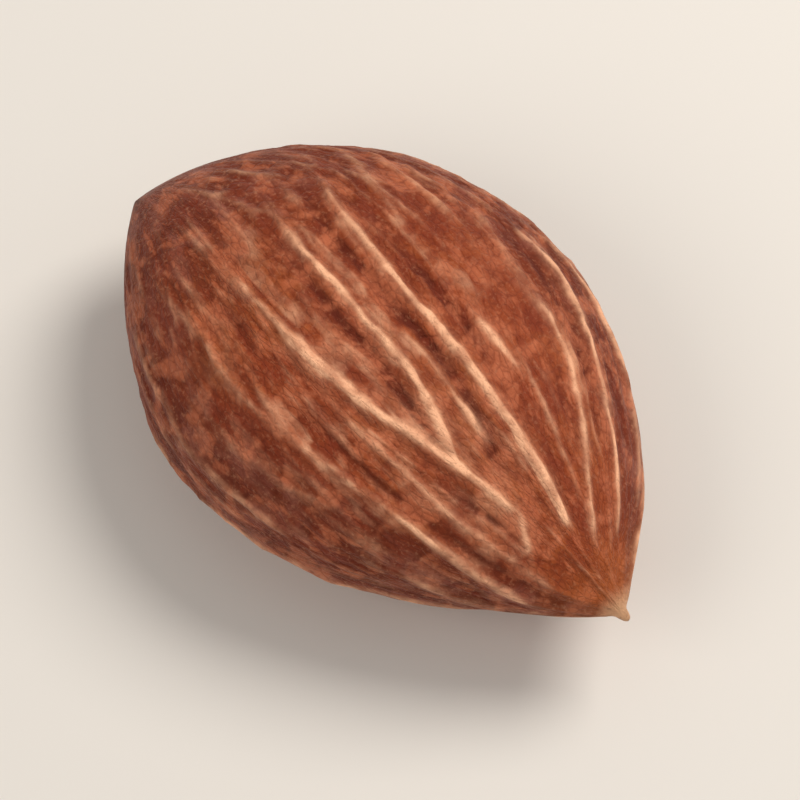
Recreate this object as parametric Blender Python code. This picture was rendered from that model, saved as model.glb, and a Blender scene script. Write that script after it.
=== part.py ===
"""Apricot kernel: one flattened, pointed seed in its ridged brown skin, lying on one broad face.

The skin is a single closed surface in two parameters. "along" runs from 0 at the broad base to 1 at the
pointed tip. "turn" goes round a cross-section in degrees, from the +Y margin at 0, over the upper face at
90 and the -Y margin at 180, to the underside at 270. The tip points along +X.
"""
import random

import bpy
import numpy as np

MM = 0.001

# Driving dimensions, in metres
LENGTH = 18.0 * MM
WIDTH = 11.8 * MM
THICKNESS = 6.8 * MM
NUB_RADIUS = 0.36 * MM
NUB_LENGTH = 0.80 * MM
NUB_REACH = 0.25 * MM
PINCH_LENGTH = 1.5 * MM
BASE_SHIFT = 0.14 * WIDTH
FLAT_DEPTH = 0.16 * MM
RIDGE_WIDTH = 0.22 * MM
RIDGE_CAP = 0.26 * MM

# Share of the width on each side, and how each side swells, as powers of the distance from base and tip
LEFT_SHARE = 0.54
LEFT_SWELL = (0.57, 0.80)
RIGHT_SWELL = (0.93, 1.04)
FACE_SWELL = (0.60, 0.80)
LEFT_PINCH = 0.40
FACE_PINCH = 0.20
MARGIN_SHARPNESS = 1.12
SIDE_BLEND = 0.35
BASE_SHIFT_POWER = 2
NUB_FADE_POWER = 12
MARGIN_CROWDING = 0.138

# Ridges of the upper face: height, then points (along, turn in degrees) that the crest passes through
UPPER_RIDGES = (
    (0.21 * MM, ((0.16, 44), (0.36, 67), (0.62, 75), (0.87, 85))),
    (0.14 * MM, ((0.49, 60), (0.66, 60))),
    (0.20 * MM, ((0.17, 69), (0.38, 86), (0.56, 93), (0.70, 111))),
    (0.19 * MM, ((0.22, 108), (0.42, 113), (0.64, 111), (0.80, 106))),
    (0.09 * MM, ((0.46, 81), (0.71, 90))),
    (0.11 * MM, ((0.75, 94), (0.82, 112), (0.87, 136))),
    (0.11 * MM, ((0.46, 120), (0.68, 126), (0.89, 140))),
    (0.15 * MM, ((0.36, 128), (0.64, 139), (0.82, 153), (0.93, 178))),
    (0.11 * MM, ((0.71, 163), (0.80, 172), (0.90, 190))),
    (0.10 * MM, ((0.24, 133), (0.43, 139))),
    (0.11 * MM, ((0.39, 154), (0.52, 150), (0.63, 148))),
    (0.14 * MM, ((0.42, 24), (0.65, 27), (0.91, 46))),
    (0.10 * MM, ((0.50, 43), (0.70, 43), (0.91, 74))),
    (0.10 * MM, ((0.13, 22), (0.24, 40), (0.37, 54))),
    (0.09 * MM, ((0.20, 28), (0.40, 41))),
    (0.09 * MM, ((0.07, 72), (0.19, 87), (0.31, 100))),
    (0.09 * MM, ((0.08, 104), (0.27, 114))),
    (0.10 * MM, ((0.12, 160), (0.34, 164), (0.60, 166))),
    (0.10 * MM, ((0.12, 10), (0.38, 8), (0.66, 10), (0.90, 18))),
)

# Grooves of the upper face, written as the ridges are, with the depth below zero
UPPER_GROOVES = (
    (-0.13 * MM, ((0.35, 61), (0.61, 66))),
    (-0.12 * MM, ((0.15, 50), (0.36, 74), (0.62, 83), (0.76, 97))),
    (-0.11 * MM, ((0.27, 91), (0.50, 97), (0.66, 108))),
    (-0.12 * MM, ((0.65, 120), (0.83, 121))),
    (-0.12 * MM, ((0.41, 128), (0.65, 134), (0.90, 150))),
    (-0.07 * MM, ((0.39, 30), (0.56, 31), (0.73, 38))),
    (-0.06 * MM, ((0.13, 30), (0.31, 54))),
    (-0.06 * MM, ((0.14, 119), (0.37, 124))),
)

# Ridges of the underside, spread by a rule with seeded draws
UNDER_SEED = 11
UNDER_TURNS = (188, 352)
UNDER_COUNT = 16
UNDER_STARTS = (0.12, 0.30)
UNDER_ENDS = (0.76, 0.93)
UNDER_HEIGHTS = (0.10 * MM, 0.17 * MM)
UNDER_WANDER = 5
FORK_EVERY = 3
FORK_SHARE = 0.7

# Low ribs that radiate from the base
BASE_RIB_COUNT = 17
BASE_RIB_START = 0.004
BASE_RIB_ENDS = (0.15, 0.28)
BASE_RIB_HEIGHTS = (0.03 * MM, 0.07 * MM)
BASE_RIB_WANDER = 6

# How far along a ridge fades in and out, and where all relief ends at the poles
FADE_IN = 0.09
FADE_OUT = 0.07
BASE_FADE = 0.03
TIP_FADE = 0.03

# The resting spot: how far about the lowest point the relief is worn away
WORN_LENGTH = 4.0 * MM
WORN_WIDTH = 2.7 * MM

# Skin mesh: rings from base to tip, and columns round the broad part, halved twice towards the ends
RING_COUNT = 46
COLUMN_COUNT = 128
HALF_COLUMNS_WITHIN = 0.065
QUARTER_COLUMNS_WITHIN = 0.016
STEP_ALONG = 0.003

SKIN_COLOUR = (0.37, 0.12, 0.06, 1.0)
SKIN_ROUGHNESS = 0.55


def swell(along, base_power, tip_power):
    """A swelling of 1 at its fullest and 0 at both ends: along^base_power times (1 - along)^tip_power."""
    fullest = base_power / (base_power + tip_power)
    peak = fullest ** base_power * (1 - fullest) ** tip_power
    return along ** base_power * (1 - along) ** tip_power / peak


def ease(value, low, high):
    """A smooth rise from 0 at low to 1 at high: 3 s^2 - 2 s^3 of the clipped share s between them."""
    share = np.clip((value - low) / (high - low), 0, 1)
    return share * share * (3 - 2 * share)


def smooth_skin(along, turn):
    """Points of the kernel's form without its relief, about the middle plane.

    Each side has its own half-width, blended into the other over the middle, and both faces one
    half-thickness. The left side and the faces are pinched in near the tip by a bell of the distance to it.
    A small round nub, a parabola, is blended over the tip by a fourth-power mean, and the base leans towards
    the -Y side.
    """
    angle = np.radians(turn)
    angle = angle + MARGIN_CROWDING * np.sin(2 * angle)
    across = np.cos(angle)
    rise = np.sin(angle)
    body_along = np.clip(along * LENGTH / (LENGTH - NUB_REACH), 0, 1)
    nub = NUB_RADIUS * np.sqrt((1 - along) * LENGTH / NUB_LENGTH) * along ** NUB_FADE_POWER
    near_tip = np.exp(-((1 - along) * LENGTH / PINCH_LENGTH) ** 2)
    left = swell(body_along, *LEFT_SWELL) * WIDTH * LEFT_SHARE * (1 - LEFT_PINCH * near_tip)
    right = swell(body_along, *RIGHT_SWELL) * WIDTH * (1 - LEFT_SHARE)
    side = ease(across, -SIDE_BLEND, SIDE_BLEND)
    half_width = ((right + (left - right) * side) ** 4 + nub ** 4) ** 0.25
    face = swell(body_along, *FACE_SWELL) * THICKNESS / 2 * (1 - FACE_PINCH * near_tip)
    half_thickness = (face ** 4 + nub ** 4) ** 0.25
    x = along * LENGTH
    y = half_width * across - BASE_SHIFT * (1 - along) ** BASE_SHIFT_POWER
    z = half_thickness * np.sign(rise) * np.abs(rise) ** MARGIN_SHARPNESS
    return np.stack((x + 0 * y, y, z), axis=-1)


def underside_ridges():
    """Ridges spread evenly under the kernel, each with its own drawn ends, height and bow; some fork."""
    draw = random.Random(UNDER_SEED)
    first_turn, last_turn = UNDER_TURNS
    gap = (last_turn - first_turn) / (UNDER_COUNT - 1)
    ridges = []
    for number in range(UNDER_COUNT):
        turn = first_turn + gap * number
        start = draw.uniform(*UNDER_STARTS)
        end = draw.uniform(*UNDER_ENDS)
        middle = (start + end) / 2
        height = draw.uniform(*UNDER_HEIGHTS)
        bow = turn + draw.uniform(-UNDER_WANDER, UNDER_WANDER)
        path = ((start, turn + draw.uniform(-UNDER_WANDER, UNDER_WANDER)), (middle, bow), (end, turn))
        ridges.append((height, path))
        if number % FORK_EVERY == 1:
            ridges.append((FORK_SHARE * height, ((middle, bow + gap / 2), (end, turn + gap / 4))))
    return ridges


def base_ribs():
    """Low ribs round the base, each on a straight line away from it, with drawn length and height."""
    draw = random.Random(UNDER_SEED + 1)
    ribs = []
    for number in range(BASE_RIB_COUNT):
        turn = 360 * number / BASE_RIB_COUNT + draw.uniform(-BASE_RIB_WANDER, BASE_RIB_WANDER)
        end = draw.uniform(*BASE_RIB_ENDS)
        end_turn = turn + draw.uniform(-BASE_RIB_WANDER, BASE_RIB_WANDER)
        height = draw.uniform(*BASE_RIB_HEIGHTS)
        ribs.append((height, ((BASE_RIB_START, turn), (end, end_turn))))
    return ribs


def relief(along, turn, metres_per_degree):
    """Height of the skin above its smooth form.

    Each ridge is a bell profile about a polynomial crest line through its points, faded in and out at its
    ends. The sum is held below a cap, and it fades to nothing at both poles.
    """
    height = np.zeros_like(along)
    for crest, points in (*UPPER_RIDGES, *UPPER_GROOVES, *underside_ridges(), *base_ribs()):
        stations = [point[0] for point in points]
        turns = [point[1] for point in points]
        line = np.polyval(np.polyfit(stations, turns, len(points) - 1), along)
        offset = (turn - line + 180) % 360 - 180
        across = offset * metres_per_degree
        fade_in = np.clip((along - stations[0]) / FADE_IN, 0, 1)
        fade_out = np.clip((stations[-1] - along) / FADE_OUT, 0, 1)
        fade = np.sin(fade_in * np.pi / 2) * np.sin(fade_out * np.pi / 2)
        height += crest * fade * np.exp(-(across / RIDGE_WIDTH) ** 2)
    height = RIDGE_CAP * np.tanh(height / RIDGE_CAP)
    return height * np.clip(along / BASE_FADE, 0, 1) * np.clip((1 - along) / TIP_FADE, 0, 1)


def skin_points(along, turn):
    """Smooth form moved out along its own normal by the relief, and worn flat where it rests.

    The normal is the cross product of a step round the section and a step along the kernel. Relief fades
    under the lowest point, so that the flat spot is one clean patch.
    """
    point = smooth_skin(along, turn)
    ahead = smooth_skin(np.minimum(along + STEP_ALONG, 1 - STEP_ALONG / 4), turn)
    behind = smooth_skin(np.maximum(along - STEP_ALONG, STEP_ALONG / 4), turn)
    one_degree = smooth_skin(along, turn + 0.5) - smooth_skin(along, turn - 0.5)
    normal = np.cross(one_degree, ahead - behind)
    normal /= np.linalg.norm(normal, axis=-1, keepdims=True)
    height = relief(along, turn, np.linalg.norm(one_degree, axis=-1))

    fullest = FACE_SWELL[0] / sum(FACE_SWELL) * (LENGTH - NUB_REACH)
    lowest = smooth_skin(np.array(fullest / LENGTH), np.array(270.0))
    from_lowest = np.hypot((point[..., 0] - lowest[0]) / WORN_LENGTH, (point[..., 1] - lowest[1]) / WORN_WIDTH)
    height = np.where(point[..., 2] < 0, height * (1 - np.exp(-from_lowest ** 4)), height)
    point = point + normal * height[..., None]
    point[..., 2] = np.maximum(point[..., 2], FLAT_DEPTH - THICKNESS / 2)
    return point


def ring_columns(along):
    """Columns of a ring: full in the broad part, then half, then a quarter near the poles."""
    nearest_end = min(along, 1 - along)
    if nearest_end < QUARTER_COLUMNS_WITHIN:
        return COLUMN_COUNT // 4
    if nearest_end < HALF_COLUMNS_WITHIN:
        return COLUMN_COUNT // 2
    return COLUMN_COUNT


def strip_faces(first, count, next_first, next_count):
    """Faces between two neighbouring rings, whose counts are equal or one is twice the other."""
    faces = []
    for column in range(min(count, next_count)):
        near = [first + (column * count // min(count, next_count) + step) % count for step in range(3)]
        far = [next_first + (column * next_count // min(count, next_count) + step) % next_count
               for step in range(3)]
        if count == next_count:
            faces.append((near[0], near[1], far[1], far[0]))
        elif count > next_count:
            faces.append((near[0], near[1], far[0]))
            faces.append((near[1], far[1], far[0]))
            faces.append((near[1], near[2], far[1]))
        else:
            faces.append((near[0], far[1], far[0]))
            faces.append((near[0], near[1], far[1]))
            faces.append((near[1], far[2], far[1]))
    return faces


def skin_mesh():
    """Vertices and faces of the closed skin, standing on z = 0 and centred over the origin."""
    stations = (1 - np.cos(np.linspace(0, np.pi, RING_COUNT + 2)[1:-1])) / 2
    counts = [ring_columns(station) for station in stations]
    points = [np.array([[0.0, -BASE_SHIFT, 0.0]])]
    for station, count in zip(stations, counts):
        turn = np.arange(count) * 360.0 / count
        points.append(skin_points(np.full(count, station), turn))
    points.append(np.array([[LENGTH, 0.0, 0.0]]))
    firsts = 1 + np.concatenate(([0], np.cumsum(counts)))
    tip = int(firsts[-1])
    faces = []
    for column in range(counts[0]):
        faces.append((0, 1 + (column + 1) % counts[0], 1 + column))
    for ring in range(RING_COUNT - 1):
        faces += strip_faces(int(firsts[ring]), counts[ring], int(firsts[ring + 1]), counts[ring + 1])
    for column in range(counts[-1]):
        last = int(firsts[-2])
        faces.append((last + column, last + (column + 1) % counts[-1], tip))
    vertices = np.concatenate(points)
    low = vertices.min(axis=0)
    high = vertices.max(axis=0)
    vertices -= ((low[0] + high[0]) / 2, (low[1] + high[1]) / 2, low[2])
    return vertices, faces


def skin_material():
    """Matte red-brown skin."""
    material = bpy.data.materials.new("kernel_skin")
    material.use_nodes = True
    shader = material.node_tree.nodes["Principled BSDF"]
    shader.inputs["Base Color"].default_value = SKIN_COLOUR
    shader.inputs["Roughness"].default_value = SKIN_ROUGHNESS
    shader.inputs["Metallic"].default_value = 0.0
    return material


def make_kernel():
    vertices, faces = skin_mesh()
    mesh = bpy.data.meshes.new("kernel")
    mesh.from_pydata(vertices.tolist(), [], faces)
    mesh.materials.append(skin_material())
    mesh.shade_smooth()
    kernel = bpy.data.objects.new("kernel", mesh)
    bpy.context.scene.collection.objects.link(kernel)


def main():
    for old in list(bpy.data.objects):
        bpy.data.objects.remove(old)
    make_kernel()


main()
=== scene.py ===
"""Looks of an apricot kernel: its ridged, scurfy red-brown skin, on a plain pale floor in soft light."""
import math
import random
from collections import namedtuple

import bpy
import numpy as np
from bpy.props import FloatProperty, FloatVectorProperty, IntProperty, PointerProperty
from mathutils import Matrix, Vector


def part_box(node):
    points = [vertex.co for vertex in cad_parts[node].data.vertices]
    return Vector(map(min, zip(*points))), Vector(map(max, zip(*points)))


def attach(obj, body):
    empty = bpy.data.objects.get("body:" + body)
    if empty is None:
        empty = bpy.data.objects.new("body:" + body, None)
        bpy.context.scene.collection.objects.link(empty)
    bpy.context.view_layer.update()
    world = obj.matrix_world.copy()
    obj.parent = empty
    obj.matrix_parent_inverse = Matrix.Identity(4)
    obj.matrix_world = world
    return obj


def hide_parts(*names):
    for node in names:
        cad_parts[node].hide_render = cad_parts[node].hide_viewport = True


bl_info = {
    "name": "Apricot Kernel",
    "version": (1, 0, 0),
    "blender": (4, 5, 0),
    "location": "3D View > Sidebar > Kernel",
    "description": "Builds the ridged skin of an apricot kernel and its studio stage",
    "category": "Add Mesh",
}

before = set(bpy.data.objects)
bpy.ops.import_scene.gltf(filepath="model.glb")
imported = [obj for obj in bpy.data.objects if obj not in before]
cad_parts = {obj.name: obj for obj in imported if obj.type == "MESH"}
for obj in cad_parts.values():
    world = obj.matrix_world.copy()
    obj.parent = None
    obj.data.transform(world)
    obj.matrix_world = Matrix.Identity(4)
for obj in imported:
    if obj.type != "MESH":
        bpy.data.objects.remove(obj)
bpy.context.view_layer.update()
NODE_LOW, NODE_HIGH = (np.array(corner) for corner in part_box("kernel"))
LENGTH = float(NODE_HIGH[0] - NODE_LOW[0])
MM = 0.001

# The smooth form: width and thickness as shares of the length, the nub, the pinch and the swellings
WIDTH = LENGTH * 11.8 / 18.0
THICKNESS = LENGTH * 6.8 / 18.0
BASE_SHIFT = 0.14 * WIDTH
NUB_RADIUS = 0.36 * MM
NUB_LENGTH = 0.80 * MM
NUB_REACH = 0.25 * MM
LEFT_PINCH = 0.40
FACE_PINCH = 0.20
PINCH_LENGTH = 1.5 * MM
FLAT_DEPTH = 0.16 * MM
LEFT_SHARE = 0.54
LEFT_SWELL = (0.57, 0.80)
RIGHT_SWELL = (0.93, 1.04)
FACE_SWELL = (0.60, 0.80)
MARGIN_SHARPNESS = 1.12
SIDE_BLEND = 0.35
BASE_SHIFT_POWER = 2
NUB_FADE_POWER = 12
MARGIN_CROWDING = 0.138

# Ridges of the upper face: height, then points (along, turn in degrees) that the crest passes through
UPPER_RIDGES = (
    (0.21 * MM, ((0.16, 44), (0.36, 67), (0.62, 75), (0.87, 85))),
    (0.14 * MM, ((0.49, 60), (0.66, 60))),
    (0.20 * MM, ((0.17, 69), (0.38, 86), (0.56, 93), (0.70, 111))),
    (0.19 * MM, ((0.22, 108), (0.42, 113), (0.64, 111), (0.80, 106))),
    (0.09 * MM, ((0.46, 81), (0.71, 90))),
    (0.11 * MM, ((0.75, 94), (0.82, 112), (0.87, 136))),
    (0.09 * MM, ((0.46, 120), (0.68, 126), (0.89, 140))),
    (0.15 * MM, ((0.36, 128), (0.64, 139), (0.82, 153), (0.93, 178))),
    (0.11 * MM, ((0.71, 163), (0.80, 172), (0.90, 190))),
    (0.10 * MM, ((0.24, 133), (0.43, 139))),
    (0.11 * MM, ((0.39, 154), (0.52, 150), (0.63, 148))),
    (0.14 * MM, ((0.42, 24), (0.65, 27), (0.91, 46))),
    (0.10 * MM, ((0.50, 43), (0.70, 43), (0.91, 74))),
    (0.10 * MM, ((0.13, 22), (0.24, 40), (0.37, 54))),
    (0.09 * MM, ((0.20, 28), (0.40, 41))),
    (0.09 * MM, ((0.07, 72), (0.19, 87), (0.31, 100))),
    (0.09 * MM, ((0.08, 104), (0.27, 114))),
    (0.10 * MM, ((0.12, 160), (0.34, 164), (0.60, 166))),
    (0.10 * MM, ((0.12, 10), (0.38, 8), (0.66, 10), (0.90, 18))),
)

# Grooves of the upper face, written as the ridges are, with the depth below zero
UPPER_GROOVES = (
    (-0.13 * MM, ((0.35, 61), (0.61, 66))),
    (-0.12 * MM, ((0.15, 50), (0.36, 74), (0.62, 83), (0.76, 97))),
    (-0.11 * MM, ((0.27, 91), (0.50, 97), (0.66, 108))),
    (-0.08 * MM, ((0.65, 120), (0.83, 121))),
    (-0.08 * MM, ((0.41, 128), (0.65, 134), (0.90, 150))),
    (-0.07 * MM, ((0.39, 30), (0.56, 31), (0.73, 38))),
    (-0.06 * MM, ((0.13, 30), (0.31, 54))),
    (-0.06 * MM, ((0.14, 119), (0.37, 124))),
)

# The flow of the skin: lines from base to tip, each with its name in degrees and points (along, turn)
FLOW_LINES = (
    (0, ((0, 2), (0.5, 0), (1, 4))),
    (26, ((0, 8), (0.42, 23), (0.65, 27), (0.9, 44), (1, 52))),
    (73, ((0, 28), (0.16, 46), (0.36, 67), (0.62, 75), (0.87, 85), (1, 92))),
    (108, ((0, 76), (0.2, 101), (0.42, 109), (0.64, 110), (0.85, 112), (1, 116))),
    (136, ((0, 118), (0.36, 128), (0.64, 139), (0.82, 153), (1, 178))),
    (188, ((0, 184), (0.5, 182), (0.9, 204), (1, 212))),
    (270, ((0, 270), (0.5, 270), (1, 276))),
    (360, ((0, 362), (0.5, 360), (1, 364))),
)

# Ridges of the underside and ribs round the base, spread by rules with seeded draws
UNDER_SEED = 11
UNDER_TURNS = (188, 352)
UNDER_COUNT = 16
UNDER_STARTS = (0.12, 0.30)
UNDER_ENDS = (0.76, 0.93)
UNDER_HEIGHTS = (0.10 * MM, 0.17 * MM)
UNDER_WANDER = 5
FORK_EVERY = 3
FORK_SHARE = 0.7
BASE_RIB_SEED = 12
BASE_RIB_COUNT = 17
BASE_RIB_START = 0.004
BASE_RIB_ENDS = (0.15, 0.28)
BASE_RIB_HEIGHTS = (0.03 * MM, 0.07 * MM)
BASE_RIB_WANDER = 6

# How relief fades in and out, is capped, and is worn off where the kernel rests, the step on which the
# skin's normal is taken, and how broad a degree is where fine relief and the colours' place are full
FADE_IN = 0.09
FADE_OUT = 0.07
BASE_FADE = 0.03
TIP_FADE = 0.03
RIDGE_CAP = 0.26 * MM
WORN_LENGTH = 4.0 * MM
WORN_WIDTH = 2.7 * MM
LOWEST_TURN = 270.0
STEP_ALONG = 0.003
FULL_BREADTH = 0.07 * MM

# Unevenness of the ridges. Their strength, from 0 to 1 over the skin, widens and raises each one
BEND_DEGREES = 1.7
JITTER_DEGREES = 0.9
LEAST_WIDTH = 0.82
WIDTH_GAIN = 0.30
LEAST_HEIGHT = 0.55
HEIGHT_GAIN = 0.65
GROOVE_HEIGHT = 0.85
NOISE_STRENGTH = 0.85
FULL_STRENGTH = 0.45
BASE_WEAKNESS = 0.20
BASE_WEAKNESS_SPAN = (0.42, 0.18)

# Where the ridges stand fullest: its middle, and its reach along and round the kernel
FULL_ALONG = 0.70
FULL_LENGTH = 0.16
FULL_TURN = 95
FULL_TURNS = 32

# A ridge's narrow bell and halo, and the heights at which a crest or a groove shows fully
NARROW_SHARE = 0.40
HALO = 0.16
FULL_RIDGE = 0.18 * MM
PALING_POWER = 1.4
FULL_GROOVE = 0.10 * MM

# Thin minor ridges that follow the flow of the skin, spread by a rule with seeded draws
MINOR_SEED = 5
MINOR_COUNT = 84
MINOR_STARTS = (0.06, 0.62)
MINOR_LENGTHS = (0.14, 0.40)
MINOR_LAST = 0.93
MINOR_HEIGHTS = (0.02 * MM, 0.07 * MM)
MINOR_WANDER = 3.0
MINOR_WIDTH = 0.15 * MM

# Fine ridges near the margins, written as those of the upper face are
RIM_RIDGES = (
    (0.14 * MM, ((0.44, 13), (0.74, 10), (0.985, 10))),
    (0.13 * MM, ((0.78, 172), (0.90, 179), (0.985, 187))),
)

# Thin ribs that run together on the tip
TIP_RIB_SEED = 6
TIP_RIB_COUNT = 15
TIP_RIB_STARTS = (0.78, 0.89)
TIP_RIB_END = 0.985
TIP_RIB_HEIGHTS = (0.05 * MM, 0.11 * MM)

# Cells of each noise on the skin: how many round the kernel, how many along it, and the seed
STRENGTH_CELLS = (40, 9, 31)
BEND_CELLS = (24, 11, 32)
JITTER_CELLS = (80, 40, 33)
RIPPLE_BEND_CELLS = (11, 6, 21)
RIPPLE_SWAY_CELLS = (26, 12, 22)
RIPPLE_STRENGTH_CELLS = (30, 9, 23)
LONG_WRINKLE_CELLS = (60, 7, 3)
SHORT_WRINKLE_CELLS = (96, 24, 4)
NET_CELLS = (56, 30, 5)
LUMP_CELLS = (17, 8, 6)
PORE_CELLS = (160, 110, 7)
BLOB_CELLS = (72, 22, 41)
STREAK_CELLS = (120, 26, 42)

# How creases are warped: cells round and along, what is added to the seed, and the warp's size
CREASE_WARP_CELLS = (9, 5)
CREASE_WARP_SEED = 50
CREASE_WARP = 0.05
CREASE_SWAY_CELLS = (14, 9)
CREASE_SWAY_SEED = 51
CREASE_SWAY = 0.06
LONG_SHARPNESS = 6.5
SHORT_SHARPNESS = 5.0

# Ripples, and the net of creases, which is strongest near the base
RIPPLE_COUNT = 44
RIPPLE_BEND = 1.5
RIPPLE_SWAY = 0.7
RIPPLE_SPAN = (0.15, 0.75)
NET_LEAST = 0.35
NET_SPAN = (0.62, 0.25)

# Where the skin pales and darkens. A span holds the values between which something eases in
# MARGIN_SPAN and BASE_MARGIN place painted shade: darker on both margins and towards the base.
MARGIN_SPAN = (0.72, 0.97)
BASE_MARGIN = 0.95
BASE_MARGIN_SPAN = (0.42, 0.08)
RUBBED_ALONG = 0.70
RUBBED_LENGTH = 0.12
RUBBED_FLOW = 98
RUBBED_FLOWS = 22
RUBBED_PALING = 0.10
BAND_FLOW = 109
BAND_FLOWS = 7
BAND_START = (0.16, 0.36)
BAND_END = (0.84, 0.72)
BAND_PALING = 0.48
BLOB_SPAN = (0.40, 0.62)
BEYOND_START = (116, 134)
BEYOND_END = (356, 330)
FLANK_START = (0.20, 0.50)
FLANK_HOLD = 0.9
FLANK_RELEASE = 0.3
FLANK_RELEASE_SPAN = (0.55, 0.75)
FLANK_PALING = 0.30
STREAK_SPAN = (0.46, 0.64)
FRAYING = 0.5
RIM_START = (30, 14)
RIM_END = (330, 346)
RIM_DIMMING = 0.3
BEYOND_DIMMING = 0.62

# How strongly crests and grooves colour the skin: at the base, then what the middle and the tip end add
VIVID_BASE = 0.4
VIVID_MIDDLE = 0.6
VIVID_MIDDLE_SPAN = (0.22, 0.50)
VIVID_END = 0.35
VIVID_END_SPAN = (0.52, 0.70)
# Crests pale partly as the ridges' own paler skin and partly as painted highlight.
CREST_PALING = 1.15
MINOR_PALING = 1.8
# Grooves darken partly as their own redder tone and partly as painted shade.
GROOVE_DARKENING = 0.95
# Painted highlight on what stands above its blurred surroundings, and painted shade in what lies below them.
LOCAL_HEIGHT = 0.05 * MM
RAISED_HIGHLIGHT = 0.26
HOLLOW_SHADE = 0.42
BLUR_WINDOW = (7, 4)
FLOW_STRETCH = 4
POLE_MARGINS = (0.5, 0.3)

# Noises of the skin's colour on its place: scale, detail, roughness and distortion
PLACE_NOISES = {
    "blotch": (420, 3, 0.55, 0.4),
    "mottle": (1500, 3, 0.6),
    "spot": (1050, 2, 0.5, 0.5),
    "grain": (8200, 4, 0.62),
}

# Noises along the flow of the skin: share of the length that counts, then as above
FLOW_NOISES = {
    "streak": (0.35, 3.2, 4, 0.6),
    "thin streak": (0.16, 12.0, 3, 0.6),
    "fleck": (0.5, 8.5, 4, 0.6, 0.3),
    "patch": (0.6, 6.0, 3, 0.55),
    "break": (0.8, 8.0, 2, 0.5),
    "gap": (1, 3.4, 3, 0.55, 0.4),
    "wrinkle": (0.30, 16.0, 3, 0.6),
}
CELL_STRETCH = 0.5
CELL_SCALE = 26.0

# Layers of colour, in order: pattern, values at which it starts and is full, share, colour
UNDER_LAYERS = (
    ("blotch", 0.40, 0.64, 0.75, "warm"),
    ("streak", 0.42, 0.66, 0.35, "red"),
    ("fleck", 0.52, 0.38, 0.55, "red"),
    ("thin streak", 0.50, 0.70, 0.25, "groove"),
)
FACE_LAYERS = (
    ("spot", 0.50, 0.36, 0.50, "red"),
    ("spot", 0.52, 0.66, 0.56, "pale"),
    ("fleck", 0.52, 0.66, 0.58, "pale"),
    # Cell edges, the fine creases of the bumped net, take the groove colour: painted shade.
    ("cell", 0.14, 0.0, 0.30, "groove"),
)
END_LAYERS = (
    ("along", 0.86, 0.98, 0.32, "tip"),
    ("along", 0.952, 0.984, 0.9, "nub"),
    ("along", 0.04, 0.0, 0.6, "base"),
)
GRAIN_LAYERS = (
    # Dark specks where the grain's bump is low: painted shade in its pits.
    ("grain", 0.48, 0.30, 0.30, "groove"),
)

# The painted shade on the margins, the painted sheen laid over them in pink blotches, and the grooves'
# colour, which is partly painted shade
MARGIN_SHARE = 0.58
MARGIN_MOTTLE = 0.5
# Painted sheen: pink blotches on the margins.
SHEEN_PATCH_SPAN = (0.48, 0.64)
SHEEN_PATCH_SHARE = 0.60
GROOVE_SHARE = 0.90

# How the pale crests are broken up and made ragged
BREAK_SPAN = (0.34, 0.60)
BREAK_SHARE = 0.50
GAP_SPAN = (0.42, 0.58)
GAP_SHARE = 0.62
UNBROKEN_SPAN = (0.50, 0.90)
MINOR_SHARE = 0.7
RAGGED_MOTTLE = 1.8
RAGGED_STREAK = 1.2
RAGGED_SHARE = 0.35
RAGGED_SPAN = (0.05, 0.4)

# Fine pale scurf, and how dull the skin is
SCURF_SPAN = (0.52, 0.72)
SCURF_SHARE = 0.22
SCURF_ON_CRESTS = 0.10
SCURF_ON_MARGINS = 0.12
ROUGHNESS = 0.48
ROUGHNESS_MOTTLE = 0.20
ROUGHNESS_RIDGE = 0.06
SPECULAR = 0.12
SHEEN = 0.12
SHEEN_ROUGHNESS = 0.5
SHEEN_TINT = (1.0, 0.82, 0.76, 1.0)

# Bumps of the finest skin: strength and height
WRINKLE_BUMP = (0.7, 0.06 * MM)
CELL_BUMP = (0.6, 0.02 * MM)
CELL_BUMP_SPAN = (0.0, 0.20)
GRAIN_BUMP = (0.8, 0.035 * MM)

# Stage: half-width of the floor, colours of the light, and each light's direction, distance and size
FLOOR_HALF = 0.6
FLOOR_ROUGHNESS = 0.8
TARGET_HEIGHT = 0.4 * THICKNESS
WORLD_COLOUR = (1.0, 0.95, 0.89, 1.0)
WARM_WHITE = (1.0, 0.92, 0.83)
WHITE = (1.0, 1.0, 1.0)
KEY_LIGHT = ((0.05, 0.60, 0.80), 0.16, 0.09)
RIM_LIGHT = ((0.75, 0.80, 0.30), 0.14, 0.05)
FILL_LIGHT = ((-0.2, -0.85, 0.8), 0.20, 0.14)
CLIP_START = 0.01

# The skin's grid: share of the length and turn, the flow line through each point, how broad a degree is
# there, the point, its relief, and how strongly a crest, a minor crest or a groove bottom shows
Surface = namedtuple("Surface", "along turn flow breadth point height crests minor_crests grooves")


def swell(along, base_power, tip_power):
    """A swelling of 1 at its fullest and 0 at both ends: along^base_power times (1 - along)^tip_power."""
    fullest = base_power / (base_power + tip_power)
    peak = fullest ** base_power * (1 - fullest) ** tip_power
    return along ** base_power * (1 - along) ** tip_power / peak


def ease(value, low, high):
    """A smooth rise from 0 at low to 1 at high: 3 s^2 - 2 s^3 of the clipped share s between them."""
    share = np.clip((value - low) / (high - low), 0, 1)
    return share * share * (3 - 2 * share)


def bell(distance):
    """A bell curve: 1 at a distance of 0, and e to the power of minus the square of the distance beyond."""
    return np.exp(-distance ** 2)


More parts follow.
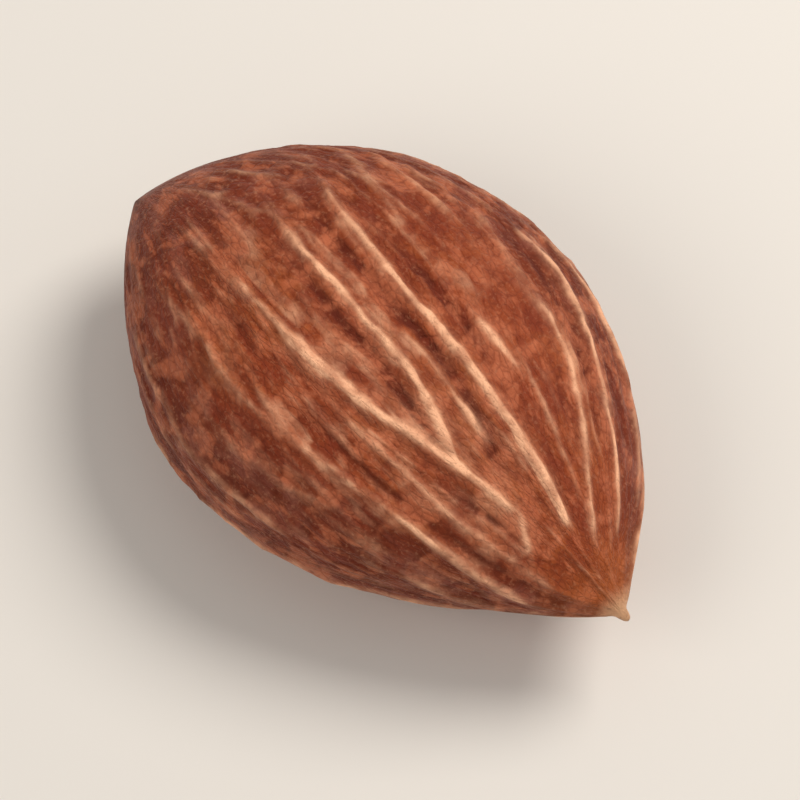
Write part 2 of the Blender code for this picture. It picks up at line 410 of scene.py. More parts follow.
def smooth_skin(along, turn):
    """Points of the kernel's form without its relief, about the middle plane.

    Each side has its own half-width, blended into the other over the middle, and both faces one
    half-thickness. The left side and the faces are pinched in near the tip by a bell of the distance to it.
    A small round nub, a parabola, is blended over the tip by a fourth-power mean, and the base leans towards
    the -Y side.
    """
    angle = np.radians(turn)
    angle = angle + MARGIN_CROWDING * np.sin(2 * angle)
    across = np.cos(angle)
    rise = np.sin(angle)
    body_along = np.clip(along * LENGTH / (LENGTH - NUB_REACH), 0, 1)
    nub = NUB_RADIUS * np.sqrt((1 - along) * LENGTH / NUB_LENGTH) * along ** NUB_FADE_POWER
    near_tip = bell((1 - along) * LENGTH / PINCH_LENGTH)
    left = swell(body_along, *LEFT_SWELL) * WIDTH * LEFT_SHARE * (1 - LEFT_PINCH * near_tip)
    right = swell(body_along, *RIGHT_SWELL) * WIDTH * (1 - LEFT_SHARE)
    side = ease(across, -SIDE_BLEND, SIDE_BLEND)
    half_width = ((right + (left - right) * side) ** 4 + nub ** 4) ** 0.25
    face = swell(body_along, *FACE_SWELL) * THICKNESS / 2 * (1 - FACE_PINCH * near_tip)
    half_thickness = (face ** 4 + nub ** 4) ** 0.25
    x = along * LENGTH
    y = half_width * across - BASE_SHIFT * (1 - along) ** BASE_SHIFT_POWER
    z = half_thickness * np.sign(rise) * np.abs(rise) ** MARGIN_SHARPNESS
    return np.stack((x + 0 * y, y, z), axis=-1)


def underside_ridges():
    """Ridges spread evenly under the kernel, each with its own drawn ends, height and bow; some fork."""
    draw = random.Random(UNDER_SEED)
    first_turn, last_turn = UNDER_TURNS
    gap = (last_turn - first_turn) / (UNDER_COUNT - 1)
    ridges = []
    for number in range(UNDER_COUNT):
        turn = first_turn + gap * number
        start = draw.uniform(*UNDER_STARTS)
        end = draw.uniform(*UNDER_ENDS)
        middle = (start + end) / 2
        height = draw.uniform(*UNDER_HEIGHTS)
        bow = turn + draw.uniform(-UNDER_WANDER, UNDER_WANDER)
        path = ((start, turn + draw.uniform(-UNDER_WANDER, UNDER_WANDER)), (middle, bow), (end, turn))
        ridges.append((height, path))
        if number % FORK_EVERY == 1:
            ridges.append((FORK_SHARE * height, ((middle, bow + gap / 2), (end, turn + gap / 4))))
    return ridges


def base_ribs():
    """Low ribs round the base, each on a straight line away from it, with drawn length and height."""
    draw = random.Random(BASE_RIB_SEED)
    ribs = []
    for number in range(BASE_RIB_COUNT):
        turn = 360 * number / BASE_RIB_COUNT + draw.uniform(-BASE_RIB_WANDER, BASE_RIB_WANDER)
        end = draw.uniform(*BASE_RIB_ENDS)
        end_turn = turn + draw.uniform(-BASE_RIB_WANDER, BASE_RIB_WANDER)
        height = draw.uniform(*BASE_RIB_HEIGHTS)
        ribs.append((height, ((BASE_RIB_START, turn), (end, end_turn))))
    return ribs


def lattice_noise(round_share, along, cells_round, cells_along, seed):
    """Smooth noise from 0 to 1 that closes on itself round the kernel.

    Random heights sit at the corners of a grid of cells and are blended by a fifth-power ease.
    """
    heights = np.random.default_rng(seed).random((cells_along + 2, cells_round))
    column = (round_share % 1) * cells_round
    row = np.clip(along, 0, 1) * cells_along
    left = np.floor(column).astype(int)
    low = np.floor(row).astype(int)
    part_round = column - left
    part_along = row - low
    part_round = part_round ** 3 * (part_round * (part_round * 6 - 15) + 10)
    part_along = part_along ** 3 * (part_along * (part_along * 6 - 15) + 10)
    left = left % cells_round
    right = (left + 1) % cells_round
    below = heights[low, left] * (1 - part_round) + heights[low, right] * part_round
    above = heights[low + 1, left] * (1 - part_round) + heights[low + 1, right] * part_round
    return below * (1 - part_along) + above * part_along


def flow_turn(along, turn):
    """The turn that a line of the skin has at mid-length, for the line through each point of the grid.

    Each flow line is a polynomial, cubic at most, fitted to its points. Between neighbouring lines the name
    is interpolated.
    """
    stations = along[:, 0]
    lines = []
    for _, points in FLOW_LINES:
        degree = min(3, len(points) - 1)
        lines.append(np.polyval(np.polyfit(*zip(*points), degree), stations))
    names = [name for name, _ in FLOW_LINES]
    turns = np.array(lines).T
    turns = np.concatenate((turns[:, -2:-1] - 360, turns, turns[:, 1:2] + 360), axis=1)
    names = [names[-2] - 360, *names, names[1] + 360]
    return np.array([np.interp(row, line, names) for row, line in zip(turn, turns)])


def minor_ridges():
    """Thin ridges spread round the kernel in two rounds, each with drawn ends, height and drift."""
    draw = random.Random(MINOR_SEED)
    ridges = []
    for number in range(MINOR_COUNT):
        name = 720 * number / MINOR_COUNT % 360 + draw.uniform(-MINOR_WANDER, MINOR_WANDER)
        start = draw.uniform(*MINOR_STARTS)
        end = min(start + draw.uniform(*MINOR_LENGTHS), MINOR_LAST)
        height = draw.uniform(*MINOR_HEIGHTS)
        ridges.append((height, ((start, name), (end, name + draw.uniform(-MINOR_WANDER, MINOR_WANDER)))))
    return ridges


def tip_ribs():
    """Thin ribs spread evenly round the tip, each with a drawn start, height and drift."""
    draw = random.Random(TIP_RIB_SEED)
    ribs = []
    for number in range(TIP_RIB_COUNT):
        name = 360 * number / TIP_RIB_COUNT + draw.uniform(-2 * MINOR_WANDER, 2 * MINOR_WANDER)
        end_name = name + draw.uniform(-MINOR_WANDER, MINOR_WANDER)
        height = draw.uniform(*TIP_RIB_HEIGHTS)
        ribs.append((height, ((draw.uniform(*TIP_RIB_STARTS), name), (TIP_RIB_END, end_name))))
    return ribs


def ridge_relief(along, turn, metres_per_degree, ridges, width, strength):
    """Height of a set of ridges and grooves, and how strongly a crest or a groove bottom shows.

    Each one is a narrow bell on a wider one about a polynomial crest line through its points, faded in and
    out at its ends. Strength, from 0 to 1 over the skin, makes each one wider or narrower, higher or lower.
    """
    height = np.zeros_like(along)
    crests = np.zeros_like(along)
    grooves = np.zeros_like(along)
    width = width * (LEAST_WIDTH + WIDTH_GAIN * strength)
    for crest, points in ridges:
        stations = [point[0] for point in points]
        turns = [point[1] for point in points]
        line = np.polyval(np.polyfit(stations, turns, len(points) - 1), along)
        across = ((turn - line + 180) % 360 - 180) * metres_per_degree
        fade_in = np.clip((along - stations[0]) / FADE_IN, 0, 1)
        fade_out = np.clip((stations[-1] - along) / FADE_OUT, 0, 1)
        evenness = LEAST_HEIGHT + HEIGHT_GAIN * strength if crest > 0 else GROOVE_HEIGHT
        fade = np.sin(fade_in * np.pi / 2) ** 2 * np.sin(fade_out * np.pi / 2) * evenness
        wide = bell(across / width)
        narrow = bell(across / (NARROW_SHARE * width))
        height += crest * fade * (wide + narrow) / 2
        if crest > 0:
            haloed = HALO * wide + (1 - HALO) * narrow
            crests = np.maximum(crests, (crest / FULL_RIDGE) ** PALING_POWER * fade * fade_in * haloed)
        else:
            grooves = np.maximum(grooves, -crest / FULL_GROOVE * fade * np.sqrt(narrow))
    return height, crests, grooves


def all_ridges(along, turn, flow, metres_per_degree, width):
    """Main and minor ridges together, on lines that noise bends a little; the sum is held below a cap."""
    share = flow / 360
    full = bell((along - FULL_ALONG) / FULL_LENGTH) * bell((flow - FULL_TURN) / FULL_TURNS)
    strength = NOISE_STRENGTH * lattice_noise(share, along, *STRENGTH_CELLS) + FULL_STRENGTH * full
    strength = np.clip(strength - BASE_WEAKNESS * ease(along, *BASE_WEAKNESS_SPAN), 0, 1)
    bend = BEND_DEGREES * (lattice_noise(share, along, *BEND_CELLS) - 0.5)
    bend = bend + JITTER_DEGREES * (lattice_noise(share, along, *JITTER_CELLS) - 0.5)
    main = (*UPPER_RIDGES, *UPPER_GROOVES, *RIM_RIDGES, *underside_ridges(), *base_ribs())
    height, crests, grooves = ridge_relief(along, turn + bend, metres_per_degree, main, width, strength)
    thin = (*minor_ridges(), *tip_ribs())
    minor, minor_crests, _ = ridge_relief(
        along, flow + bend, metres_per_degree, thin, MINOR_WIDTH, 1 - strength)
    height = RIDGE_CAP * np.tanh((height + minor) / RIDGE_CAP)
    return height, crests, minor_crests, grooves


def crease_lines(round_share, along, cells, sharpness):
    """Branching crest lines: 1 where a warped lattice noise crosses its middle value, less beside it."""
    cells_round, cells_along, seed = cells
    warp = lattice_noise(round_share, along, *CREASE_WARP_CELLS, seed + CREASE_WARP_SEED) - 0.5
    sway = lattice_noise(round_share, along, *CREASE_SWAY_CELLS, seed + CREASE_SWAY_SEED) - 0.5
    warped_round = round_share + CREASE_WARP * warp
    noise = lattice_noise(warped_round, along + CREASE_SWAY * sway, cells_round, cells_along, seed)
    return bell((noise - 0.5) * sharpness)


def ripples(share, along):
    """Rounded lengthwise ripples: a cosine round the kernel, bent and made uneven by lattice noise."""
    bend = lattice_noise(share, along, *RIPPLE_BEND_CELLS) - 0.5
    sway = lattice_noise(share, along, *RIPPLE_SWAY_CELLS) - 0.5
    wave = 0.5 + 0.5 * np.cos(2 * np.pi * (RIPPLE_COUNT * share + RIPPLE_BEND * bend + RIPPLE_SWAY * sway))
    return wave * ease(lattice_noise(share, along, *RIPPLE_STRENGTH_CELLS), *RIPPLE_SPAN)


def fine_relief(along, flow, settings):
    """Height of the ripples, wrinkles, net, soft lumps and pores: a weighted sum of lattice noises."""
    share = flow / 360
    netted = NET_LEAST + (1 - NET_LEAST) * ease(along, *NET_SPAN)
    height = settings.ripple_height * ripples(share, along)
    height += settings.long_wrinkle * crease_lines(share, along, LONG_WRINKLE_CELLS, LONG_SHARPNESS)
    height += settings.short_wrinkle * crease_lines(share, along, SHORT_WRINKLE_CELLS, SHORT_SHARPNESS)
    height += settings.net_height * netted * crease_lines(share, along, NET_CELLS, SHORT_SHARPNESS)
    height += settings.lump_height * (lattice_noise(share, along, *LUMP_CELLS) - 0.5)
    height += settings.pore_height * (lattice_noise(share, along, *PORE_CELLS) - 0.5)
    return height


def blur(field, columns, rings):
    """Mean over a window of the grid, closed round the kernel and held at its ends, done twice."""
    wide = 2 * columns + 1
    tall = 2 * rings + 1
    for _ in range(2):
        field = sum(np.roll(field, shift - columns, axis=1) for shift in range(wide)) / wide
        padded = np.pad(field, ((rings, rings), (0, 0)), mode="edge")
        field = sum(padded[shift:shift + field.shape[0]] for shift in range(tall)) / tall
    return field


def skin_surface(settings):
    """The whole skin on a grid of rings and columns, as a Surface.

    Every point is the smooth form moved along its normal by the main and fine relief. The relief fades to
    nothing at both poles and under the lowest point, where the skin is worn flat.
    """
    stations = (1 - np.cos(np.linspace(0, np.pi, settings.rings + 2)[1:-1])) / 2
    turns = np.arange(settings.columns) * 360.0 / settings.columns
    along, turn = np.meshgrid(stations, turns, indexing="ij")
    point = smooth_skin(along, turn)
    ahead = smooth_skin(np.minimum(along + STEP_ALONG, 1 - STEP_ALONG / 4), turn)
    behind = smooth_skin(np.maximum(along - STEP_ALONG, STEP_ALONG / 4), turn)
    one_degree = smooth_skin(along, turn + 0.5) - smooth_skin(along, turn - 0.5)
    normal = np.cross(one_degree, ahead - behind)
    normal /= np.linalg.norm(normal, axis=-1, keepdims=True)
    metres_per_degree = np.linalg.norm(one_degree, axis=-1)
    flow = flow_turn(along, turn)
    height, crests, minor_crests, grooves = all_ridges(
        along, turn, flow, metres_per_degree, settings.ridge_width)
    breadth = np.clip(metres_per_degree / FULL_BREADTH, 0, 1)
    height = height + breadth ** 2 * fine_relief(along, flow, settings)
    height = height * np.clip(along / BASE_FADE, 0, 1) * np.clip((1 - along) / TIP_FADE, 0, 1)

    fullest = FACE_SWELL[0] / sum(FACE_SWELL) * (LENGTH - NUB_REACH)
    lowest = smooth_skin(np.array(fullest / LENGTH), np.array(LOWEST_TURN))
    ahead_of_lowest = (point[..., 0] - lowest[0]) / WORN_LENGTH
    beside_lowest = (point[..., 1] - lowest[1]) / WORN_WIDTH
    unworn = 1 - np.exp(-np.hypot(ahead_of_lowest, beside_lowest) ** 4)
    height = np.where(point[..., 2] < 0, height * unworn, height)
    point = point + normal * height[..., None]
    point[..., 2] = np.maximum(point[..., 2], FLAT_DEPTH - THICKNESS / 2)
    return Surface(along, turn, flow, breadth, point, height, crests, minor_crests, grooves)


def margin_edge(turn):
    """1 on both margins and 0 on the faces, eased by how far the turn's cosine is from 0."""
    return ease(np.abs(np.cos(np.radians(turn))), *MARGIN_SPAN)


def vividness(along):
    """How strongly crests and grooves colour the skin: little at the base, most towards the tip."""
    middle = VIVID_MIDDLE * ease(along, *VIVID_MIDDLE_SPAN)
    return VIVID_BASE + middle + VIVID_END * ease(along, *VIVID_END_SPAN)


def pale_and_dark(surface):
    """How pale, and how dark, the skin is at each point, each from 0 to 1.

    Crests are pale, partly as the ridges' own paler skin and partly as painted highlight, and what stands
    above its surroundings gets a painted highlight. Worn skin is pale too: a bell near the tip, blobs in a
    band along one ridge, and short streaks on the flank. Groove bottoms are dark, partly their redder tone
    and partly painted shade, and hollows get painted shade. Crests show less on the rim and beyond the upper
    face, and fray there, and on the band, into blobs.
    """
    along, flow = surface.along, surface.flow
    blobs = ease(lattice_noise(flow / 360, along, *BLOB_CELLS), *BLOB_SPAN)
    streaks = ease(lattice_noise(flow / 360, along, *STREAK_CELLS), *STREAK_SPAN)
    rubbed = bell((along - RUBBED_ALONG) / RUBBED_LENGTH) * bell((flow - RUBBED_FLOW) / RUBBED_FLOWS)
    band = bell((flow - BAND_FLOW) / BAND_FLOWS) * ease(along, *BAND_START) * ease(along, *BAND_END)
    beyond = ease(flow, *BEYOND_START) * ease(flow, *BEYOND_END)
    rim = np.maximum(ease(flow, *RIM_START), ease(flow, *RIM_END))
    held = FLANK_HOLD - FLANK_RELEASE * ease(along, *FLANK_RELEASE_SPAN)
    flank = beyond * ease(along, *FLANK_START) * (1 - held * margin_edge(surface.turn))
    worn = RUBBED_PALING * rubbed + BAND_PALING * band * blobs + FLANK_PALING * flank * streaks
    crests = surface.crests * (1 - FRAYING * np.maximum(band, beyond) * (1 - blobs))
    vivid = vividness(along) * (1 - BEYOND_DIMMING * beyond) * (1 - RIM_DIMMING * rim)
    # Height against its blurred surroundings: painted highlight where it stands up, painted shade in hollows.
    local = (surface.height - blur(surface.height, *BLUR_WINDOW)) / LOCAL_HEIGHT
    # Crests partly the ridges' paler skin and partly painted highlight; raised spots painted highlight; worn
    # skin its own paler colour.
    pale = CREST_PALING * crests * vivid + RAISED_HIGHLIGHT * np.clip(local, 0, 1) + worn * (1 - surface.grooves)
    # Groove bottoms partly their redder tone and partly painted shade; hollows painted shade.
    dark = GROOVE_DARKENING * surface.grooves * vivid + HOLLOW_SHADE * np.clip(-local, 0, 1)
    return np.clip(pale, 0, 1), np.clip(dark, 0, 1)


def flow_place(surface):
    """Place for the colour's noises: on a circle round the kernel, drawn in at both ends, and along it."""
    angle = np.radians(surface.flow)
    radius = surface.breadth ** 0.5
    return np.stack((np.cos(angle) * radius, np.sin(angle) * radius, surface.along * FLOW_STRETCH), axis=-1)


def grid_faces(rings, columns):
    """Quads between neighbouring rings, closed round the kernel, and a fan of triangles at each pole."""
    ring = np.arange(rings - 1)[:, None] * columns
    column = np.arange(columns)[None, :]
    following = (column + 1) % columns
    ahead = ring + columns
    quads = np.stack((ring + column, ring + following, ahead + following, ahead + column), -1)
    base = rings * columns
    last = (rings - 1) * columns
    column = column[0]
    following = following[0]
    base_fan = np.stack((np.full(columns, base), following, column), -1)
    tip_fan = np.stack((last + column, last + following, np.full(columns, base + 1)), -1)
    return quads.reshape(-1, 4).tolist() + base_fan.tolist() + tip_fan.tolist()


def store(mesh, name, kind, values):
    """Puts one value or vector for each vertex into a named attribute of the mesh."""
    attribute = mesh.attributes.new(name, kind, "POINT")
    field = "vector" if kind == "FLOAT_VECTOR" else "value"
    attribute.data.foreach_set(field, np.ascontiguousarray(values, dtype=np.float32).ravel())


class Signal:
    """A socket in a material, with operators, so that shader maths reads as an expression."""

    def __init__(self, sheet, socket):
        self.sheet = sheet
        self.socket = socket

    def _math(self, operation, first, second):
        return self.sheet.node("ShaderNodeMath", {0: first, 1: second}, {"operation": operation})

    def __add__(self, other):
        return self._math("ADD", self, other)

    def __radd__(self, other):
        return self._math("ADD", other, self)

    def __sub__(self, other):
        return self._math("SUBTRACT", self, other)

    def __rsub__(self, other):
        return self._math("SUBTRACT", other, self)

    def __mul__(self, other):
        return self._math("MULTIPLY", self, other)

    def __rmul__(self, other):
        return self._math("MULTIPLY", other, self)


class NodeSheet:
    """The nodes of one material. Its node method adds any node and gives back one of its outputs."""

    def __init__(self, material):
        material.use_nodes = True
        self.tree = material.node_tree
        self.shader = self.tree.nodes["Principled BSDF"]

    def feed(self, socket, value):
        """Links a signal to a socket, or sets the socket to a constant."""
        if isinstance(value, Signal):
            self.tree.links.new(value.socket, socket)
        else:
            socket.default_value = value

    def node(self, kind, inputs, settings=None, output=0):
        """Adds a node of a kind with its settings, then its inputs, each a constant or a signal."""
        made = self.tree.nodes.new(kind)
        for name, value in (settings or {}).items():
            setattr(made, name, value)
        for name, value in inputs.items():
            self.feed(made.inputs[name], value)
        return Signal(self, made.outputs[output])

    def attribute(self, name, output="Fac"):
        """A field that is stored on the skin."""
        return self.node("ShaderNodeAttribute", {}, {"attribute_name": name}, output)

    def stretch(self, vector, amounts):
        """The vector with each of its parts multiplied by its amount."""
        return self.node("ShaderNodeVectorMath", {0: vector, 1: amounts}, {"operation": "MULTIPLY"})

    def noise(self, vector, scale, detail=2.0, roughness=0.5, distortion=0.0):
        """Noise from 0 to 1 at a place, as fine as its scale."""
        inputs = {"Vector": vector, "Scale": scale, "Detail": detail, "Roughness": roughness}
        inputs["Distortion"] = distortion
        return self.node("ShaderNodeTexNoise", inputs)

    def cells(self, vector, scale):
        """Distance to the nearest edge between cells of a Voronoi pattern."""
        inputs = {"Vector": vector, "Scale": scale}
        return self.node("ShaderNodeTexVoronoi", inputs, {"feature": "DISTANCE_TO_EDGE"}, "Distance")

    def step(self, value, low, high):
        """0 below low and 1 above high, with a smooth rise between; low may be the larger."""
        inputs = {"Value": value, "From Min": low, "From Max": high}
        return self.node("ShaderNodeMapRange", inputs, {"interpolation_type": "SMOOTHSTEP"})

    def mix(self, share, first, second):
        """The first colour turned towards the second by share."""
        return self.node("ShaderNodeMix", {0: share, 6: first, 7: second}, {"data_type": "RGBA"}, 2)

    def bump(self, height, strength, distance, normal=None):
        """The normal of a relief whose height is a signal, over that of the bump before it."""
        inputs = {"Height": height, "Strength": strength, "Distance": distance}
        if normal is not None:
            inputs["Normal"] = normal
        return self.node("ShaderNodeBump", inputs)


def solid(colour):
    """The colour with a full fourth channel, as a socket takes it."""
    return (*colour, 1.0)


def lay(sheet, colour, patterns, colours, layers):
    """Turns the colour, layer by layer, towards the layer's own where its pattern shows."""
    for pattern, start, full, share, target in layers:
        shown = sheet.step(patterns[pattern], start, full)
        colour = sheet.mix(shown * share, colour, solid(getattr(colours, target)))
    return colour


def skin_patterns(sheet):
    """The stored fields of the skin and the noises of its colour, each by its name."""
    place = sheet.node("ShaderNodeTexCoord", {}, None, "Object")
    flow = sheet.attribute("flow", "Vector")
    patterns = {name: sheet.attribute(name) for name in ("crest", "minor", "groove", "margin", "along")}
    for name, noise in PLACE_NOISES.items():
        patterns[name] = sheet.noise(place, *noise)
    for name, (stretch, *noise) in FLOW_NOISES.items():
        patterns[name] = sheet.noise(sheet.stretch(flow, (1, 1, stretch)), *noise)
    patterns["cell"] = sheet.cells(sheet.stretch(flow, (1, 1, CELL_STRETCH)), CELL_SCALE)
    return patterns


def pale_shares(sheet, patterns):
    """Shares of the crest colour, which is partly painted highlight, on the minor and the main crests, which
    gaps and breaks interrupt.
    """
    crest = patterns["crest"]
    unbroken = sheet.step(crest, *UNBROKEN_SPAN)
    gaps = sheet.step(patterns["gap"], *GAP_SPAN)
    breaks = sheet.step(patterns["break"], *BREAK_SPAN)
    kept = (1 - GAP_SHARE) + GAP_SHARE * (gaps + unbroken - gaps * unbroken)
    ragged = RAGGED_MOTTLE * (patterns["mottle"] - 0.5) + RAGGED_STREAK * (patterns["thin streak"] - 0.5)
    main = crest + RAGGED_SHARE * ragged * sheet.step(crest, *RAGGED_SPAN)
    minor = patterns["minor"] * breaks * gaps * MINOR_SHARE
    return minor, main * kept * ((1 - BREAK_SHARE) + BREAK_SHARE * breaks)


def skin_material(colours):
    """Red-brown skin: paler crests, partly painted highlight; darker grooves, partly painted shade; margins
    darkened by painted shade with pink blotches of painted sheen; a tan tip, a dark base and fine scurf.
    """
    material = bpy.data.materials.new("kernel_skin")
    sheet = NodeSheet(material)
    patterns = skin_patterns(sheet)
    margin = patterns["margin"]
    mottle = patterns["mottle"]
    grain = patterns["grain"]

    colour = lay(sheet, solid(colours.face), patterns, colours, UNDER_LAYERS)
    # Painted shade on both margins and towards the base, uneven with the mottle.
    colour = sheet.mix(margin * (MARGIN_SHARE + MARGIN_MOTTLE * mottle), colour, solid(colours.margin))
    sheen_patches = sheet.step(patterns["patch"], *SHEEN_PATCH_SPAN)
    # Painted sheen: pink blotches on the margins.
    colour = sheet.mix(sheen_patches * margin * SHEEN_PATCH_SHARE, colour, solid(colours.mauve_sheen))
    # Groove bottoms and hollows: partly their redder tone, partly painted shade.
    colour = sheet.mix(patterns["groove"] * GROOVE_SHARE, colour, solid(colours.groove))
    colour = lay(sheet, colour, patterns, colours, FACE_LAYERS)
    # Crest colour: partly the ridges' own paler skin, partly painted highlight.
    for share in pale_shares(sheet, patterns):
        colour = sheet.mix(share, colour, solid(colours.crest))
    colour = lay(sheet, colour, patterns, colours, END_LAYERS)
    scurfy = SCURF_SHARE + SCURF_ON_CRESTS * patterns["crest"] + SCURF_ON_MARGINS * margin
    colour = sheet.mix(sheet.step(grain, *SCURF_SPAN) * scurfy, colour, solid(colours.scurf))
    colour = lay(sheet, colour, patterns, colours, GRAIN_LAYERS)
    sheet.feed(sheet.shader.inputs["Base Color"], colour)

    roughness = ROUGHNESS + ROUGHNESS_MOTTLE * mottle - ROUGHNESS_RIDGE * patterns["crest"]
    roughness = roughness + ROUGHNESS_RIDGE * patterns["groove"]
    sheet.feed(sheet.shader.inputs["Roughness"], roughness)
    normal = sheet.bump(patterns["wrinkle"], *WRINKLE_BUMP)
    normal = sheet.bump(sheet.step(patterns["cell"], *CELL_BUMP_SPAN), *CELL_BUMP, normal)
    normal = sheet.bump(grain, *GRAIN_BUMP, normal)
    sheet.feed(sheet.shader.inputs["Normal"], normal)
    sheet.shader.inputs["Specular IOR Level"].default_value = SPECULAR
    sheet.shader.inputs["Sheen Weight"].default_value = SHEEN
    sheet.shader.inputs["Sheen Roughness"].default_value = SHEEN_ROUGHNESS
    sheet.shader.inputs["Sheen Tint"].default_value = SHEEN_TINT
    return material


def floor_material(colour):
    """Plain dull floor of one colour."""
    material = bpy.data.materials.new("pale_floor")
    sheet = NodeSheet(material)
    sheet.shader.inputs["Base Color"].default_value = solid(colour)
    sheet.shader.inputs["Roughness"].default_value = FLOOR_ROUGHNESS
    return material


class KernelSkinSettings(bpy.types.PropertyGroup):
    """Sizes of the skin's relief."""

    rings: IntProperty(name="Rings", description="Rings from base to tip", default=204, min=20)
    columns: IntProperty(name="Columns", description="Columns round the kernel", default=480, min=20)
    ridge_width: FloatProperty(
        name="Ridge width", description="Half-width of a main ridge", default=0.26 * MM, unit="LENGTH")
    long_wrinkle: FloatProperty(
        name="Long wrinkles", description="Height of the long wrinkles", default=0.035 * MM, unit="LENGTH")
    short_wrinkle: FloatProperty(
        name="Short wrinkles", description="Height of the short wrinkles", default=0.025 * MM, unit="LENGTH")
    ripple_height: FloatProperty(
        name="Ripples", description="Height of the rounded ripples", default=0.05 * MM, unit="LENGTH")
    net_height: FloatProperty(
        name="Net", description="Height of the net near the base", default=0.035 * MM, unit="LENGTH")
    lump_height: FloatProperty(
        name="Lumps", description="Height of the soft lumps under the skin", default=0.05 * MM, unit="LENGTH")
    pore_height: FloatProperty(
        name="Pores", description="Height of the finest unevenness", default=0.012 * MM, unit="LENGTH")


class KernelColours(bpy.types.PropertyGroup):
    """Colours of the skin."""

    face: FloatVectorProperty(
        name="Face", description="Skin of the broad faces", subtype="COLOR", default=(0.31, 0.058, 0.015))
    warm: FloatVectorProperty(
        name="Warm", description="Orange-tan blotches", subtype="COLOR", default=(0.40, 0.095, 0.023))
    red: FloatVectorProperty(
        name="Red", description="Redder streaks", subtype="COLOR", default=(0.22, 0.032, 0.010))
    # Partly the grooves' own deep red, partly painted shade in grooves, hollows, fine creases and grain pits;
    # also the underside's thin dark streaks.
    groove: FloatVectorProperty(
        name="Groove", description="Bottoms of the grooves", subtype="COLOR", default=(0.10, 0.011, 0.003))
    # Partly the ridges' own paler skin, partly painted highlight on their tops.
    crest: FloatVectorProperty(
        name="Crest", description="Tops of the ridges", subtype="COLOR", default=(0.99, 0.54, 0.33))
    pale: FloatVectorProperty(
        name="Pale", description="Pale flecks along the skin", subtype="COLOR", default=(0.53, 0.150, 0.068))
    # Painted shade on both margins and towards the base.
    margin: FloatVectorProperty(
        name="Margin", description="Mauve-brown margins", subtype="COLOR", default=(0.112, 0.014, 0.005))
    # Painted sheen, in pink blotches on the margins.
    mauve_sheen: FloatVectorProperty(
        name="Mauve", description="Patches on the margins", subtype="COLOR", default=(0.34, 0.110, 0.075))
    tip: FloatVectorProperty(
        name="Tip", description="Orange-tan tip", subtype="COLOR", default=(0.46, 0.13, 0.030))
    nub: FloatVectorProperty(
        name="Nub", description="Pale nub on the tip", subtype="COLOR", default=(0.72, 0.42, 0.24))
    base: FloatVectorProperty(
        name="Base", description="Dark scar at the base", subtype="COLOR", default=(0.14, 0.045, 0.028))
    scurf: FloatVectorProperty(
        name="Scurf", description="Fine pale dust of the skin", subtype="COLOR", default=(0.56, 0.25, 0.14))


class StageSettings(bpy.types.PropertyGroup):
    """Camera, light and floor."""

    azimuth: FloatProperty(
        name="Azimuth", description="Camera's turn about the kernel",
        default=math.radians(48), subtype="ANGLE")
    elevation: FloatProperty(
        name="Elevation", description="Camera's height angle", default=math.radians(65), subtype="ANGLE")
    distance: FloatProperty(
        name="Distance", description="Camera to kernel", default=0.20, unit="LENGTH")
    view_width: FloatProperty(
        name="View width", description="Width that is seen at the kernel", default=0.0215, unit="LENGTH")
    key_power: FloatProperty(name="Key power", description="Main light", default=0.184, unit="POWER")
    rim_power: FloatProperty(name="Rim power", description="Light from beyond", default=0.012, unit="POWER")
    fill_power: FloatProperty(name="Fill power", description="Front light", default=0.104, unit="POWER")
    world_strength: FloatProperty(name="Surroundings", description="Even light all round", default=0.35)
    floor: FloatVectorProperty(
        name="Floor", description="Floor's colour", subtype="COLOR", default=(0.80, 0.79, 0.77))


class KERNEL_OT_skin(bpy.types.Operator):
    """Build the kernel's skin over its solid"""

    bl_idname = "kernel.skin"
    bl_label = "Kernel skin"

    def execute(self, context):
        surface = skin_surface(context.scene.kernel_skin)
        rings, columns = surface.along.shape
        poles = np.array([[0.0, -BASE_SHIFT, 0.0], [LENGTH, 0.0, 0.0]])
        vertices = np.concatenate((surface.point.reshape(-1, 3), poles))
        low = vertices.min(axis=0)
        high = vertices.max(axis=0)
        vertices = NODE_LOW + (vertices - low) / (high - low) * (NODE_HIGH - NODE_LOW)
        mesh = bpy.data.meshes.new("kernel_skin")
        mesh.from_pydata(vertices.tolist(), [], grid_faces(rings, columns))

        # pale carries crest paling, partly painted highlight, and painted highlight on raised spots; dark
        # carries the grooves' tone and painted shade.
        pale, dark = pale_and_dark(surface)
        # Mask of the painted shade: both margins and towards the base.
        margin = np.maximum(margin_edge(surface.turn), BASE_MARGIN * ease(surface.along, *BASE_MARGIN_SPAN))
        fields = (
            ("crest", pale, (0, 0)),
            ("minor", np.clip(MINOR_PALING * surface.minor_crests, 0, 1), (0, 0)),
            ("groove", dark, (0, 0)),
            ("margin", margin, POLE_MARGINS),
            ("along", surface.along, (0, 1)),
        )
        for name, field, at_poles in fields:
            store(mesh, name, "FLOAT", np.concatenate((field.ravel(), at_poles)))
        flow_poles = ((1, 0, 0), (1, 0, FLOW_STRETCH))
        store(mesh, "flow", "FLOAT_VECTOR", np.concatenate((flow_place(surface).reshape(-1, 3), flow_poles)))
        mesh.materials.append(skin_material(context.scene.kernel_colours))
        mesh.shade_smooth()
        skin = bpy.data.objects.new("kernel_skin", mesh)
        context.scene.collection.objects.link(skin)
        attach(skin, "root")
        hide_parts("kernel")
        return {"FINISHED"}


def aim(thing, place, target):
    """Puts a light or the camera at a place, looking at the target."""
    thing.location = place
    thing.rotation_euler = (Vector(target) - Vector(place)).to_track_quat("-Z", "Y").to_euler()


def add_light(scene, name, target, light, power, colour):
    """Adds a round soft light: light holds its direction from the target, its distance and its size."""
    direction, distance, size = light
    data = bpy.data.lights.new(name, "AREA")
    data.shape = "DISK"
    data.size = size
    data.energy = power
    data.color = colour
    lamp = bpy.data.objects.new(name, data)
    scene.collection.objects.link(lamp)
    aim(lamp, Vector(target) + Vector(direction).normalized() * distance, target)


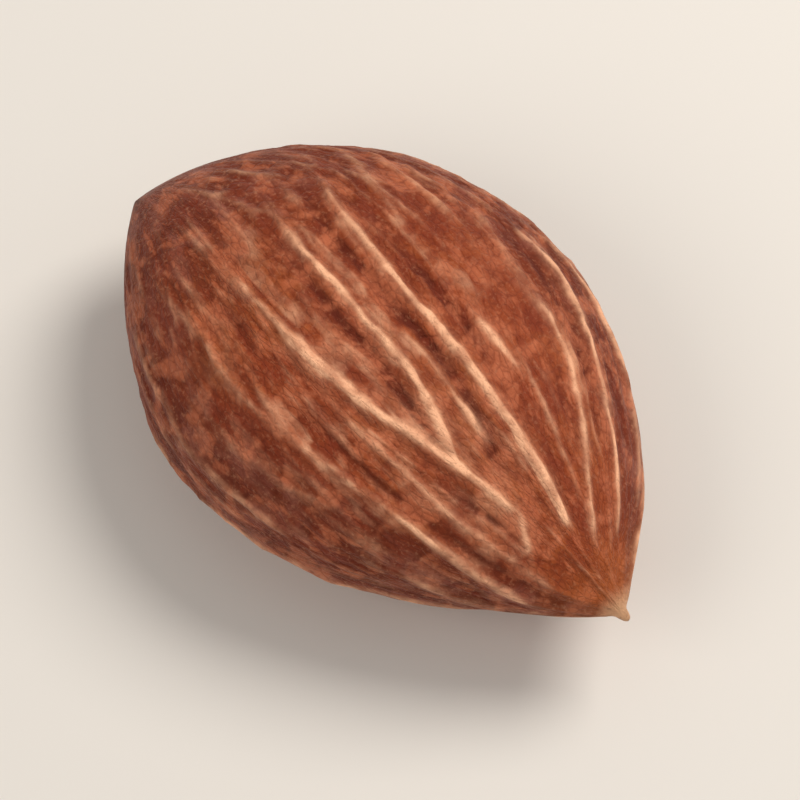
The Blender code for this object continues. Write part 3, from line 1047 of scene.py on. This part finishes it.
class KERNEL_OT_stage(bpy.types.Operator):
    """Set out the floor, the soft lights and the camera"""

    bl_idname = "kernel.stage"
    bl_label = "Stage"

    def execute(self, context):
        scene = context.scene
        settings = scene.kernel_stage
        mesh = bpy.data.meshes.new("floor")
        half = FLOOR_HALF
        corners = [(-half, -half, 0), (half, -half, 0), (half, half, 0), (-half, half, 0)]
        mesh.from_pydata(corners, [], [(0, 1, 2, 3)])
        mesh.materials.append(floor_material(settings.floor))
        floor = bpy.data.objects.new("floor", mesh)
        scene.collection.objects.link(floor)

        world = bpy.data.worlds.new("studio")
        world.use_nodes = True
        background = world.node_tree.nodes["Background"]
        background.inputs["Color"].default_value = WORLD_COLOUR
        background.inputs["Strength"].default_value = settings.world_strength
        scene.world = world
        scene.view_settings.view_transform = "Standard"

        target = (0.0, 0.0, TARGET_HEIGHT)
        add_light(scene, "key", target, KEY_LIGHT, settings.key_power, WARM_WHITE)
        add_light(scene, "rim", target, RIM_LIGHT, settings.rim_power, WHITE)
        add_light(scene, "fill", target, FILL_LIGHT, settings.fill_power, WARM_WHITE)

        level = math.cos(settings.elevation)
        across, away = math.sin(settings.azimuth) * level, -math.cos(settings.azimuth) * level
        direction = Vector((across, away, math.sin(settings.elevation)))
        data = bpy.data.cameras.new("camera")
        data.angle = 2 * math.atan(settings.view_width / 2 / settings.distance)
        data.clip_start = CLIP_START
        camera = bpy.data.objects.new("camera", data)
        scene.collection.objects.link(camera)
        aim(camera, Vector(target) + direction * settings.distance, target)
        scene.camera = camera
        return {"FINISHED"}


class KERNEL_PT_panel(bpy.types.Panel):
    """The kernel's pieces and its stage, each with the values that shape it"""

    bl_idname = "KERNEL_PT_panel"
    bl_label = "Apricot Kernel"
    bl_space_type = "VIEW_3D"
    bl_region_type = "UI"
    bl_category = "Kernel"

    def draw(self, context):
        groups = (
            (KERNEL_OT_skin, context.scene.kernel_skin),
            (KERNEL_OT_skin, context.scene.kernel_colours),
            (KERNEL_OT_stage, context.scene.kernel_stage),
        )
        for operator, group in groups:
            box = self.layout.box()
            box.operator(operator.bl_idname)
            for name in group.__annotations__:
                box.prop(group, name)


CLASSES = (KernelSkinSettings, KernelColours, StageSettings, KERNEL_OT_skin, KERNEL_OT_stage, KERNEL_PT_panel)


def register():
    """Registers the classes and gives every scene their settings."""
    for item in CLASSES:
        bpy.utils.register_class(item)
    bpy.types.Scene.kernel_skin = PointerProperty(type=KernelSkinSettings)
    bpy.types.Scene.kernel_colours = PointerProperty(type=KernelColours)
    bpy.types.Scene.kernel_stage = PointerProperty(type=StageSettings)


def unregister():
    """Takes the settings and the classes away again."""
    del bpy.types.Scene.kernel_skin
    del bpy.types.Scene.kernel_colours
    del bpy.types.Scene.kernel_stage
    for item in reversed(CLASSES):
        bpy.utils.unregister_class(item)


def main():
    """Builds the kernel's skin and its stage."""
    register()
    bpy.ops.kernel.skin()
    bpy.ops.kernel.stage()
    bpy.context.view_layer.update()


if __name__ == "__main__":
    main()
